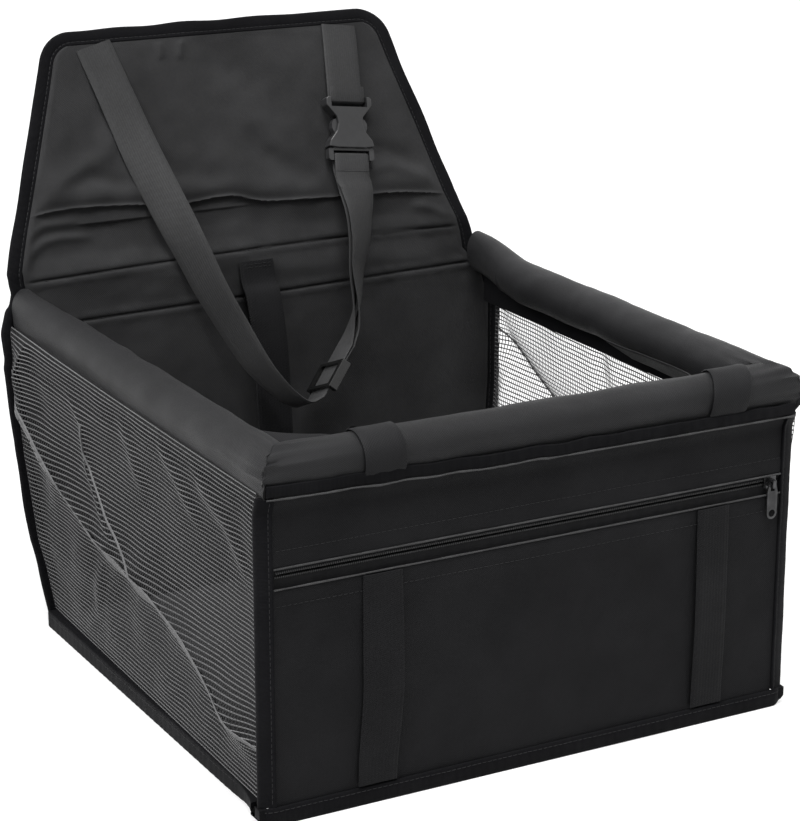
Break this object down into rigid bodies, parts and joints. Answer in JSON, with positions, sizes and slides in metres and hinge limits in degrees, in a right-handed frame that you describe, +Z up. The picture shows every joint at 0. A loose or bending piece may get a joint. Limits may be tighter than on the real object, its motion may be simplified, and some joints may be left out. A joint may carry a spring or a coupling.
{
  "type": "dog car seat",
  "caption": "Fold-up cloth booster seat for a small dog, with padded rims, mesh sides, a zipped front pocket and a back flap with a buckled headrest strap.",
  "frame": {"origin": "middle of the base's underside", "axes": "+Z up, -Y out of the front wall, +X to the right seen from the front"},
  "size_m": [0.4298, 0.5001, 0.4422],
  "materials": {
    "cloth": "coated plain-weave polyester, satin",
    "rim_cloth": "coated plain-weave polyester, satin",
    "mesh": "open knitted mesh",
    "binding": "ribbed binding tape",
    "webbing": "flat woven webbing",
    "strap_webbing": "flat woven webbing with a slight sheen",
    "zipper_tape": "woven tape with a moulded coil",
    "buckle": "satin moulded",
    "adjuster": "glossy moulded",
    "pipe": "extruded pipe",
    "board": "plain sheet",
    "black_metal": "black, smooth"
  },
  "bodies": {
    "box": {"floor_cover": "cloth", "front_cover": "cloth", "pocket_panel": "cloth", "header_strip": "cloth", "back_cover": "cloth", "front_sleeve": "rim_cloth", "left_sleeve": "rim_cloth", "right_sleeve": "rim_cloth", "left_mesh": "mesh", "right_mesh": "mesh", "left_hem": "binding", "right_hem": "binding", "front_left_binding": "binding", "front_right_binding": "binding", "front_bottom_binding": "binding", "left_base_binding": "binding", "right_base_binding": "binding", "rear_base_binding": "binding", "rear_left_binding": "binding", "rear_right_binding": "binding", "left_front_band": "webbing", "right_front_band": "webbing", "left_rim_strap": "webbing", "right_rim_strap": "webbing", "tether_strap": "strap_webbing", "upper_zipper_tape": "zipper_tape", "lower_zipper_tape": "zipper_tape", "front_tube": "pipe", "left_tube": "pipe", "right_tube": "pipe", "floor_board": "board", "front_board": "board", "back_board": "board", "tether_eye": "black_metal"},
    "flap": {"flap_cover": "cloth", "flap_board": "board", "flap_binding": "binding"},
    "loop": {"short_strap": "strap_webbing", "buckle_socket": "buckle"},
    "plug": {"buckle_plug": "buckle", "long_strap": "strap_webbing", "return_strap": "strap_webbing"},
    "adjuster": {"adjuster": "adjuster"},
    "slider": {"zipper_slider": "black_metal"},
    "pull": {"zipper_pull": "black_metal"},
    "hook": {"tether_hook": "black_metal"},
    "gate": {"hook_gate": "black_metal"}
  },
  "joints": [
    {"name": "flap_fold", "type": "hinge", "parent": "box", "child": "flap", "pos_m": [0, 0.224, 0.274], "axis": [1, 0, 0], "range_deg": [0, 112]},
    {"name": "loop_swing", "type": "hinge", "parent": "flap", "child": "loop", "pos_m": [0, 0.28239, 0.43106], "axis": [1, 0, 0], "range_deg": [-135, 0]},
    {"name": "buckle_release", "type": "slide", "parent": "loop", "child": "plug", "axis": [-0.1197, -0.3719, -0.9205], "range_m": [0, 0.026]},
    {"name": "adjuster_slide", "type": "slide", "parent": "plug", "child": "adjuster", "axis": [0.6558, 0.2828, 0.7], "range_m": [-0.006, 0.0145], "deforming": ["return_strap"]},
    {"name": "zipper_slide", "type": "slide", "parent": "box", "child": "slider", "axis": [-1, 0, 0], "range_m": [0, 0.37]},
    {"name": "pull_swing", "type": "hinge", "parent": "slider", "child": "pull", "pos_m": [0.186, -0.2027, 0.171], "axis": [-1, 0, 0], "range_deg": [0, 170]},
    {"name": "hook_swivel", "type": "hinge", "parent": "box", "child": "hook", "pos_m": [-0.008, 0.18172, 0.08082], "axis": [0, 0, 1], "continuous": true},
    {"name": "gate_open", "type": "hinge", "parent": "hook", "child": "gate", "pos_m": [-0.00081, 0.18172, 0.05428], "axis": [0, 1, 0], "range_deg": [0, 36], "stiffness_Nm_per_rad": 0.01, "springref_deg": -17.19}
  ],
  "couplings": [
    {"joint": "loop_swing", "follows": "flap_fold", "ratio": -1.179}
  ]
}
